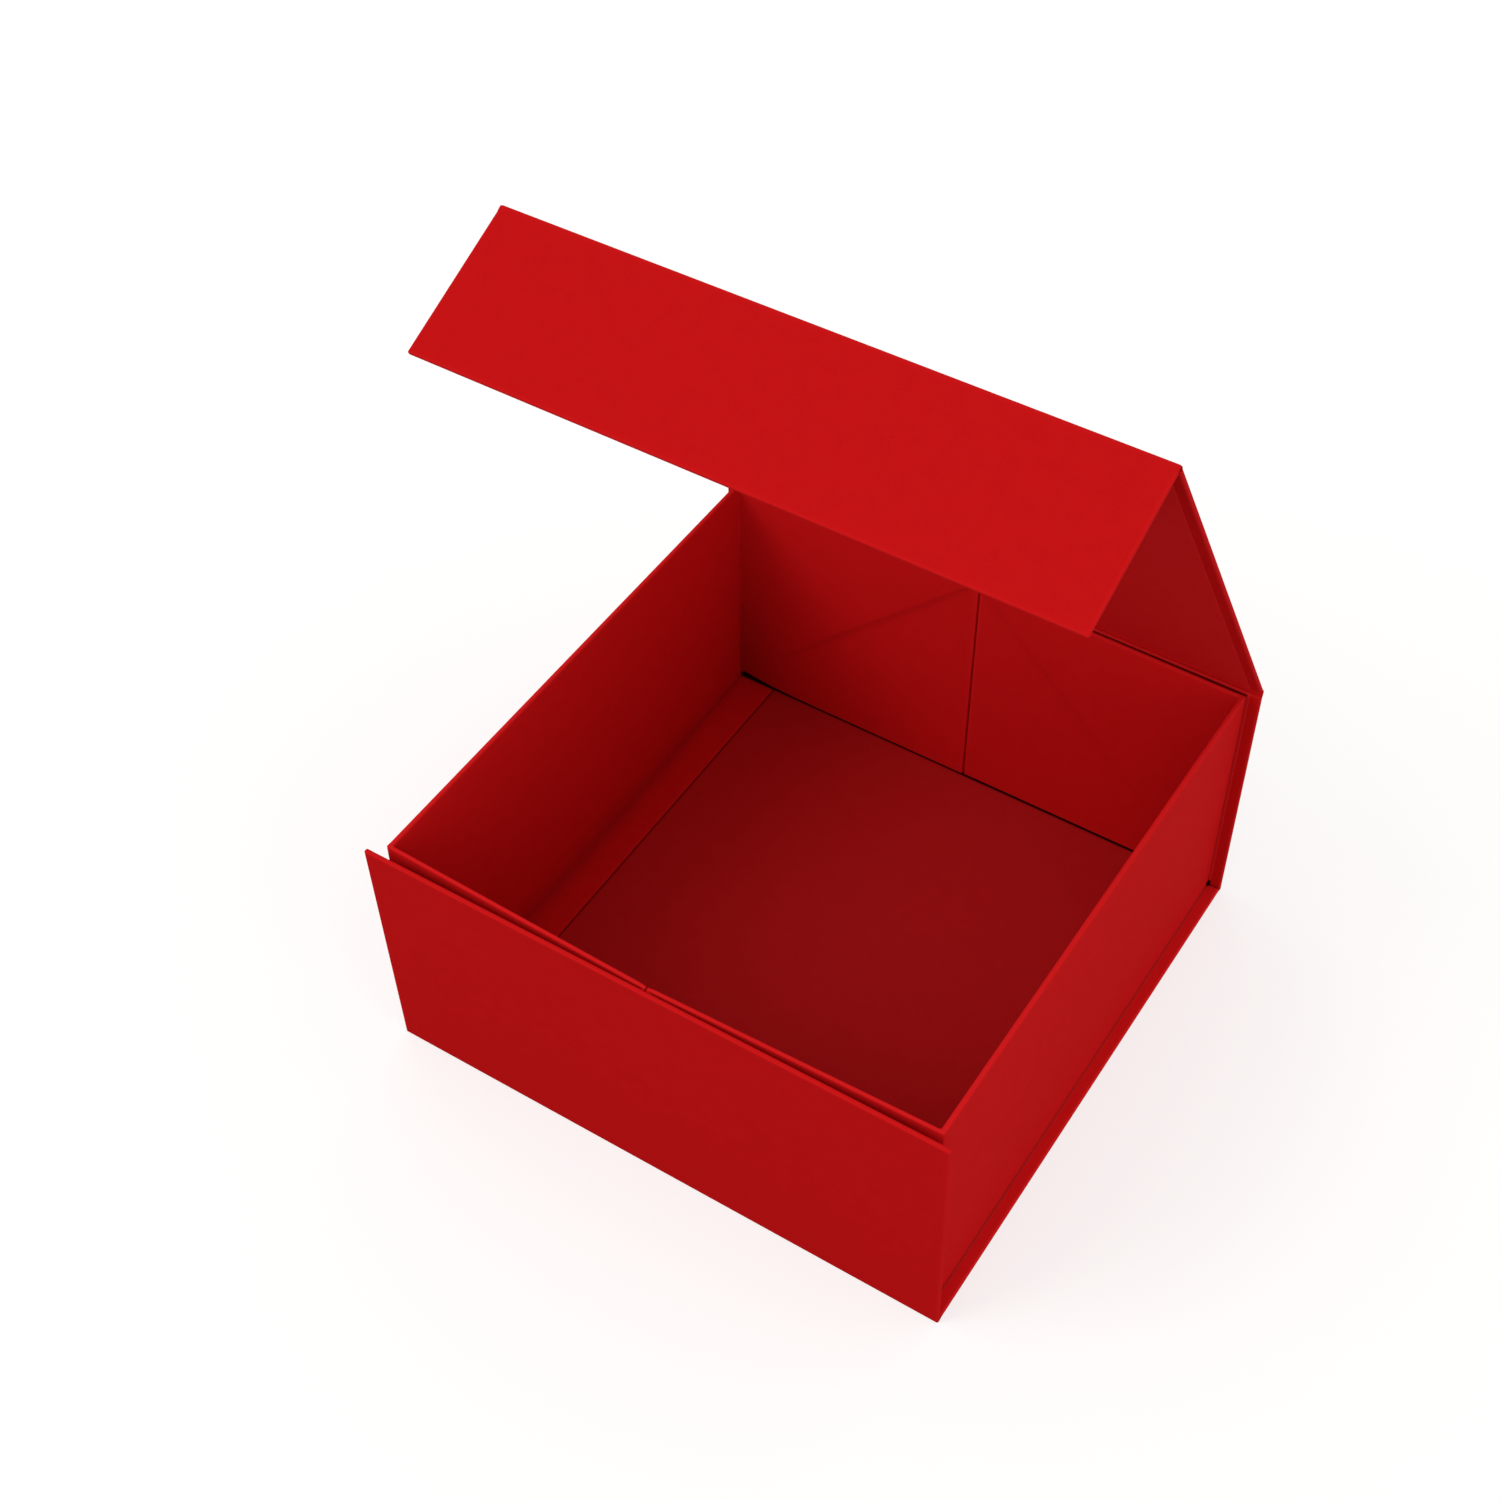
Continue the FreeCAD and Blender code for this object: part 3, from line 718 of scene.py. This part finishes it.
def foot_strip(side, sign):
    """Wall face, quarter circle and floor as one line for each station along the wall, and one set back."""
    ends = (0, 0.1, 0.5, 2)
    reach = WALL_END - 0.4
    y = stations(2 * reach, ends, ends, 40)[0] - reach
    radius = corner_radius(y)[:, None]
    angle = np.linspace(0, math.pi / 2, 13)[None]
    up = np.linspace(1, 0, 7)[None, :-1]
    face = WALL + 0.05
    rise_z = STRIP_TOP + radius + STRIP_UP * up
    rise_p = face - 0.12 * up ** 2 + 0 * rise_z          # its top edge goes into the wall
    bend_p = face + radius * (1 - np.cos(angle))
    bend_z = STRIP_TOP + radius * (1 - np.sin(angle))
    flat_p = bend_p[:, -1:] + (STRIP_END - bend_p[:, -1:]) * FLAT_ROWS
    flat_z = STRIP_TOP - round_off(STRIP_END - flat_p, STRIP_END_SOFT)
    p, z = np.hstack([rise_p, bend_p, flat_p]), np.hstack([rise_z, bend_z, flat_z])
    slope_p, slope_z = np.gradient(p, axis=1), np.gradient(z, axis=1)
    length = np.hypot(slope_p, slope_z)
    p_back = np.maximum(p + STRIP_THICK * slope_z / length, WALL - 0.3)
    z_back = np.maximum(z - STRIP_THICK * slope_p / length, PANEL - 0.05)
    line = y[:, None] + 0 * p
    front_skin = np.stack([sign * (TRAY_X - p), line, z], -1)
    back_skin = np.stack([sign * (TRAY_X - p_back), line, z_back], -1)
    # wear and a painted highlight along the strip's free edge
    wear_and_highlight = np.hstack([0 * rise_z, 0 * bend_p, 0.35 * wear_and_highlight_falloff((STRIP_END - flat_p) / 1.5)])
    bend_painted_shade = 0.30 * np.exp(-((angle - math.pi / 4) / 0.5) ** 2)      # painted shade, darkest half way round the bend
    # Painted shade on the strip: a little up the wall, most in the bend, a little on the floor
    shade = np.hstack([0.08 * (1 - up) ** 2 + 0 * rise_z, 0.08 + bend_painted_shade + 0 * bend_p,
                       0.04 + 0.04 * (1 - FLAT_ROWS) ** 4 + 0 * flat_p])
    piece = sandwich(f"{side}_foot_lining", back_skin, front_skin, (0 * wear_and_highlight, wear_and_highlight), (shade, shade), 60)
    finish_piece(piece, f"{side}_foot_strip", tray_paper)
    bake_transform(piece)
    return piece


foot_strip("left", -1)
foot_strip("right", 1)

# %% [markdown]
# ## Half walls
# Each end of the tray is two half walls that meet in the middle, and each is creased from its foot at the
# corner to its top at the middle. Below the crease it is taped to the end panel, above it is hinged to the
# side wall. The two triangles are grids whose rows shorten towards the corner. At the crease both dip and
# meet, so they look like one sheet with a fold pressed into it. They have to be two pieces, because they ride
# on two bodies that no joint joins. The back ones don't quite reach the floor, each by its own amount.

# %% Triangles on both sides of a crease
HALF_SOFT = 0.5      # radius of a half wall's edges
HALF_EDGE = soft_offsets(HALF_SOFT, (1.5,))
CREASE_ROWS = (0, 0.25, 0.5, 0.8, 1.2, 1.8, 3)
CREASE_DIP = 0.15
CREASE_WIDTH = 0.9
CREASE_STRENGTH = {"front_left": 1.0, "front_right": 1.0, "back_left": 1.0, "back_right": 0.35}
CORE_GAP = 0.9       # the board stops this far short of the crease
FIRST_RUN = 1.6      # the taped triangle's nearest point to the corner
FIRST_RISE = 1.8     # the hinged one's lowest point
STEP = 0.35          # the hinged triangle stands this much proud of the taped one
ALONG_CREASE = math.cos(math.atan(SLOPE))
JOINT_REACH = WALL + 0.8        # the corner piece's length on the half wall
LIFT = {  # how far the lower edge clears the floor, at the corner and at the middle
    "front_left": (0.2, 0.1),
    "front_right": (0.2, 0.1),
    "back_left": (3.6, 0.15),
    "back_right": (1.0, 0.5),
}


def lower_edge(name, run):
    """Height of the lower edge: the middle's, plus the rest up to the corner's by the share to the ninth."""
    corner, middle = LIFT[name]
    return middle + (corner - middle) * (1 - run / RUN) ** 9


def taped_grid(name, inset):
    """Run and height of the triangle below the crease, with distances to its foot, split and crease."""
    short = CORE_GAP / ALONG_CREASE if inset else 0
    begin = FIRST_RUN
    for _ in range(6):   # the lower edge meets the crease where its height is the run times the slope
        begin = max(FIRST_RUN, (lower_edge(name, begin) + inset + short) / SLOPE + 0.1)
    run = stations(RUN - begin - inset, (0, 1, 3), HALF_EDGE, 26)[0] + begin
    foot = lower_edge(name, run) + inset
    top = np.maximum(run * SLOPE - short, foot + 0.05)
    height = stations(top - foot, soft_offsets(HALF_SOFT), CREASE_ROWS, 14) + foot[:, None]
    run = run[:, None] + 0 * height
    return run, height, height - foot[:, None], RUN - inset - run, (top[:, None] - height) * ALONG_CREASE


def hinged_grid(inset):
    """Run and height of the triangle above the crease, with distances to its top and crease."""
    height = stations(RISE - FIRST_RISE - inset, (0, 1, 3), HALF_EDGE, 26)[0] + FIRST_RISE
    tip = height / SLOPE - (CORE_GAP / ALONG_CREASE if inset else 0)
    begin = np.minimum(JOINT_REACH + inset, tip - 0.05)
    run = stations(tip - begin, (0, 1), CREASE_ROWS, 14) + begin[:, None]
    height = height[:, None] + 0 * run
    return run, height, RISE - inset - height, (tip[:, None] - run) * SLOPE * ALONG_CREASE


print(f"crease from the corner's foot to {RISE:.1f} mm up at {RUN:.1f} mm along")


# %% Half walls in their places
# Painted shade in the tray's corners and along each crease
CORNER_DARK, CORNER_RUN, CORNER_HEIGHT = 0.4, 22, 60
CREASE_DARK, CREASE_DARK_WIDTH = 0.15, 1.2
STEP_WIDTH = 1.5     # the taped one rises to the hinged one's level within this distance of the crease


def swing_of(end):
    """How far the hinged triangle turns about its upright edge to meet the leaning one along the crease."""
    lean = 90 - (FRONT_TILT if end == "front" else BACK_TILT)
    return math.degrees(math.atan(math.tan(math.radians(lean)) * SLOPE))


def half_place(end, side):
    """Where a half wall's hinged triangle stands, and the sign that its run has along local x."""
    west, front = side == "left", end == "front"
    sign = 1 if west == front else -1
    turn = (180 if front else 0) - sign * swing_of(end)
    origin = (-TRAY_X if west else TRAY_X, -CORNER_Y if front else CORNER_Y, 0)
    return sign, (origin, turn, 90)


def corner_shade(run, height):
    """Painted shade in a corner: e to the minus the summed squares of run and height over their reach."""
    return CORNER_DARK * np.exp(-(run / CORNER_RUN) ** 2 - (height / CORNER_HEIGHT) ** 2)


def inner_shade(strength, to_crease, run, height):
    """The darker of the painted shade along the crease and the painted shade in the corner."""
    return np.maximum(strength * groove(to_crease, CREASE_DARK, CREASE_DARK_WIDTH), corner_shade(run, height))


def taped_piece(end, side, inset=0.0):
    """Taped triangle in the end panel's frame. Near the crease its inner face rises to the hinged one's."""
    name = f"{end}_{side}"
    strength = CREASE_STRENGTH[name]
    sign, _ = half_place(end, side)
    run, height, to_foot, to_split, to_crease = taped_grid(name, inset)
    free = np.minimum(to_foot, to_split)
    edge = inset + round_off(free, HALF_SOFT - inset)
    dip = strength * groove(to_crease, CREASE_DIP, CREASE_WIDTH)
    rise = 0 if inset else STEP * np.exp(-(to_crease / STEP_WIDTH) ** 2) - dip
    back = PANEL + TAPE
    x, y = sign * (TRAY_X - run), TRAY_FOOT + height
    skins = [on_panel(f"{end}_panel", x, y, z) for z in (back + edge, back + HALF - edge + rise)]
    return skins, (wear_and_highlight_falloff(free), wear_and_highlight_falloff(free)), (0 * x, inner_shade(strength, to_crease, run, height))


def hinged_piece(end, side, inset=0.0):
    """Hinged triangle in its own upright frame, turned so that it meets the leaning one along the crease."""
    strength = CREASE_STRENGTH[f"{end}_{side}"]
    sign, place = half_place(end, side)
    run, height, to_top, to_crease = hinged_grid(inset)
    edge = inset + round_off(to_top, HALF_SOFT - inset)
    dip = 0 if inset else strength * groove(to_crease, CREASE_DIP, CREASE_WIDTH)
    x, y = -sign * run, TRAY_FOOT + height
    skins = [fold_up(np.stack([x, y, z], -1), place) for z in (edge, HALF - edge - dip)]
    return skins, (wear_and_highlight_falloff(to_top), wear_and_highlight_falloff(to_top)), (0 * x, inner_shade(strength, to_crease, run, height))


for end_name in ("front", "back"):
    for side_name in ("left", "right"):
        corner_name = f"{end_name}_{side_name}"
        for kind, make, body in (("taped", taped_piece, f"{end_name}_panel"),
                                 ("hinged", hinged_piece, f"{corner_name}_gusset")):
            stem = f"{corner_name}_{kind}"
            skins, wear_and_highlight, painted_shade = make(end_name, side_name)
            piece = sandwich(f"{stem}_cover", *skins, wear_and_highlight, painted_shade)
            finish_piece(piece, f"{stem}_wrap", tray_paper, body)
            skins, _, _ = make(end_name, side_name, PAPER)
            piece = sandwich(f"{stem}_core", *skins)
            finish_piece(piece, f"{stem}_board", board_grey, body)

# %% [markdown]
# ## Corners of the tray
# The covering turns from the side wall onto the half wall without a cut: a round corner outside and a soft
# inner corner. It is the hinge between them; the piece is made where the box stands now and rides on no
# body. Its plan is two lines, and its height is carried up to a round top that matches the walls on both
# sides. A bevel could round an L-shaped solid, but the plan gets shorter towards the foot, where the crease
# cuts it off.

# %% Corner pieces
CORNER_TURN = 0.7    # radius of the outer corner
CORNER_BEND = 0.8    # and of the inner one
CORNER_FOOT = 2.0    # how far above the half walls' foot the piece starts
SHORTEST = 0.6


def corner_plan(reach, swing, shrink):
    """Outer and inner line in plan: p in from the side wall's outer face, q in from the half wall's.

    `shrink` draws both lines together by the same distance, for the round top.
    """
    lean = math.tan(math.radians(swing))
    outer = np.concatenate([[[shrink, HALF + HINGE_GAP]],
                            arc_between(np.array([shrink, CORNER_TURN]), np.array([shrink, shrink]),
                                        np.array([CORNER_TURN, shrink - CORNER_TURN * lean]), 9),
                            [[reach, shrink - reach * lean]]])
    face, level = WALL - shrink, HALF - shrink
    inner = arc_between(np.array([face, level + CORNER_BEND]), np.array([face, level - face * lean]),
                        np.array([max(reach, face + 0.1), level - reach * lean]))
    return along(outer, 25), along(inner, 25)


def corner_piece(end, side):
    """Stacks the plan from the foot to the top. In the last half millimetre the lines draw together."""
    _, (origin, _, _) = half_place(end, side)
    height = stations(RISE - CORNER_FOOT, (0, 0.5), HALF_EDGE, 16)[0] + CORNER_FOOT
    drop = round_off(RISE - height, HALF_SOFT)
    plans = [corner_plan(min(JOINT_REACH, max(level / SLOPE, SHORTEST)), swing_of(end), shrink)
             for level, shrink in zip(height, drop)]
    way_x, way_y = -np.sign(origin[0]), -np.sign(origin[1])
    skins = []
    for index in (0, 1):
        plan = np.array([pair[index] for pair in plans])
        z = (TRAY_FOOT + height)[:, None] + 0 * plan[..., 0]
        skins.append(np.stack([origin[0] + way_x * plan[..., 0], origin[1] + way_y * plan[..., 1], z], -1))
    wear_and_highlight = wear_and_highlight_falloff(RISE - height)[:, None] + 0 * skins[0][..., 0]
    # painted shade on the inner face of the corner, as on the half walls
    inside = corner_shade(0, height)[:, None] + 0 * wear_and_highlight
    piece = sandwich(f"{end}_{side}_corner_hinge", *skins, (wear_and_highlight, wear_and_highlight), (0 * wear_and_highlight, inside), smooth=60)
    finish_piece(piece, f"{end}_{side}_corner_paper", tray_paper)
    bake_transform(piece)
    return piece


for end_name in ("front", "back"):
    for side_name in ("left", "right"):
        corner_piece(end_name, side_name)

# %% [markdown]
# ## Floor, light and camera
# A plain pale floor and an even white surround. Two large soft lamps give the shape: a key from the front
# left, high up, which makes the flap the brightest face, and a weak low one from the right, for the right
# wall. The inside of the tray is left in soft shade. The floor glows a little to the camera alone, so it
# stays pale without more light on the box. The view transform is Standard, because others dull a strong red.

# %% Floor
FLOOR_REACH, FLOOR_LEVEL = 3.0, -0.0001      # metres


def stage_floor():
    """A flat square just under the box, three metres each way, in matt near-white."""
    mesh = bpy.data.meshes.new("floor")
    ways = ((-1, -1), (1, -1), (1, 1), (-1, 1))
    corners = [(x * FLOOR_REACH, y * FLOOR_REACH, FLOOR_LEVEL) for x, y in ways]
    mesh.from_pydata(corners, [], [(0, 1, 2, 3)])
    floor = bpy.data.objects.new("floor", mesh)
    scene.collection.objects.link(floor)
    paint = {"Roughness": 0.9, "Specular IOR Level": 0.0, "Base Color": srgb("#ABAAA8"),
             "Emission Color": (1, 1, 1, 1)}
    material, shader, _ = new_material("matt_white_paint", paint)
    path = add_node(material, "ShaderNodeLightPath")
    glow = add_node(material, "ShaderNodeMapRange", {"Value": path.outputs["Is Camera Ray"]},
                    {"To Max": 0.66})
    join(material, glow.outputs[0], shader, "Emission Strength")
    mesh.materials.append(material)


stage_floor()
print("floor ready")


# %% Light
def surround(seen, light):
    """An even white world: `seen` is its brightness to the camera, `light` its brightness as a lamp."""
    world = bpy.data.worlds.new("studio")
    world.use_nodes = True
    background = world.node_tree.nodes["Background"]
    background.inputs["Color"].default_value = (1, 1, 1, 1)
    path = add_node(world, "ShaderNodeLightPath")
    level = add_node(world, "ShaderNodeMapRange", {"Value": path.outputs["Is Camera Ray"]},
                     {"To Min": light, "To Max": seen})
    join(world, level.outputs[0], background, "Strength")
    scene.world = world


def soft_lamp(name, place, target, size, power):
    """A square area lamp aimed from its place at a target point."""
    lamp = bpy.data.lights.new(name, "AREA")
    lamp.size, lamp.energy = size, power
    holder = bpy.data.objects.new(name, lamp)
    scene.collection.objects.link(holder)
    holder.location = place
    holder.rotation_mode = "QUATERNION"
    holder.rotation_quaternion = Vector(np.array(target) - np.array(place)).to_track_quat("-Z", "Y")


scene.view_settings.view_transform = "Standard"
surround(1.0, 0.78)
soft_lamp("key", (-2.0, -2.2, 2.6), (0, 0, 0), 1.8, 34)
soft_lamp("side", (3.0, -0.9, 0.75), (0, 0, 0.1), 1.6, 12)
print("light ready")

# %% Camera
def aim_camera(place, azimuth, elevation, roll, lens):
    """Looks down along the given azimuth and elevation: the camera's axes are the columns of its rotation."""
    turn, rise, lean = (math.radians(v) for v in (azimuth, elevation, roll))
    back = np.array([math.sin(turn) * math.cos(rise), -math.cos(turn) * math.cos(rise), math.sin(rise)])
    right = np.cross(-back, [0, 0, 1])
    right /= np.linalg.norm(right)
    up = np.cross(right, -back)
    leaned = (math.cos(lean) * right + math.sin(lean) * up, -math.sin(lean) * right + math.cos(lean) * up)
    camera = bpy.data.objects.new("camera", bpy.data.cameras.new("camera"))
    scene.collection.objects.link(camera)
    camera.data.lens, camera.data.sensor_width = lens, 36.0
    camera.data.clip_start, camera.data.clip_end = 0.05, 20
    camera.matrix_world = Matrix.Translation(place) @ Matrix(np.array([*leaned, back]).T.tolist()).to_4x4()
    scene.camera = camera
    print("camera at", place, "with a lens of", lens)


aim_camera((0.27463, -0.46858, 0.70610), 33.127, 47.498, -0.738, 57.61)
